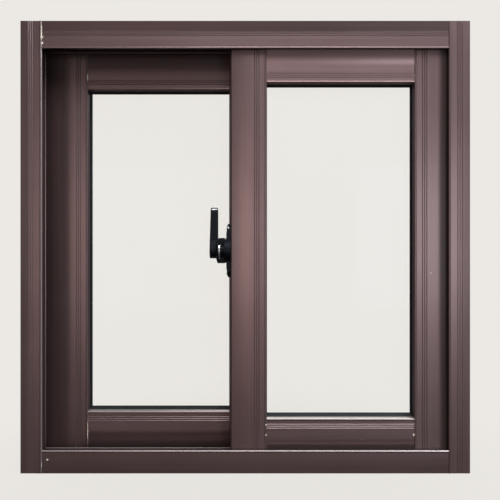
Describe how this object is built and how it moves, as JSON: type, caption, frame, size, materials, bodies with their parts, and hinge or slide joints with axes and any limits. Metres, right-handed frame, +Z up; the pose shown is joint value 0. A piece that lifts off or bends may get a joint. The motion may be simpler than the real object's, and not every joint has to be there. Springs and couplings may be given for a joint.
{
  "type": "horizontal sliding window",
  "caption": "Brown aluminium horizontal sliding window: glazed sashes run past each other in an outer frame and are held shut by a crescent lock on the meeting stile.",
  "frame": {"origin": "middle of the frame's base, in the plane its sill stands on", "axes": "+X to the right seen from the room, +Y from the room to the outside, +Z up"},
  "size_m": [0.6, 0.084, 0.604],
  "materials": {
    "brown_aluminium": "satin bronze anodised",
    "glass": "clear",
    "black_gasket": "matt",
    "black_lock": "satin black",
    "zinc": "bright zinc plate",
    "nylon": "moulded"
  },
  "bodies": {
    "frame": {"left_jamb": "brown_aluminium", "right_jamb": "brown_aluminium", "head": "brown_aluminium", "sill": "brown_aluminium"},
    "front_sash": {"front_meeting_stile": "brown_aluminium", "front_outer_stile": "brown_aluminium", "front_top_rail": "brown_aluminium", "front_bottom_rail": "brown_aluminium", "front_interlock": "brown_aluminium", "front_glass": "glass", "front_gasket_meeting": "black_gasket", "front_gasket_outer": "black_gasket", "front_gasket_bottom": "black_gasket", "front_gasket_top": "black_gasket", "front_roller_housings": "nylon", "front_roller_wheels": "nylon", "lock_base": "black_lock"},
    "rear_sash": {"rear_meeting_stile": "brown_aluminium", "rear_outer_stile": "brown_aluminium", "rear_top_rail": "brown_aluminium", "rear_bottom_rail": "brown_aluminium", "rear_interlock": "brown_aluminium", "rear_glass": "glass", "rear_gasket_meeting": "black_gasket", "rear_gasket_outer": "black_gasket", "rear_gasket_bottom": "black_gasket", "rear_gasket_top": "black_gasket", "rear_roller_housings": "nylon", "rear_roller_wheels": "nylon"},
    "lock_arm": {"lock_washer": "zinc", "lock_crescent": "black_lock", "lock_lever": "black_lock"}
  },
  "joints": [
    {"name": "front_slide", "type": "slide", "parent": "frame", "child": "front_sash", "axis": [-1, 0, 0], "range_m": [0, 0.215]},
    {"name": "rear_slide", "type": "slide", "parent": "frame", "child": "rear_sash", "axis": [1, 0, 0], "range_m": [-0.0062, 0.255]},
    {"name": "lock_turn", "type": "hinge", "parent": "front_sash", "child": "lock_arm", "pos_m": [-0.03, -0.0198, 0.2974], "axis": [1, 0, 0], "range_deg": [0, 180]}
  ]
}
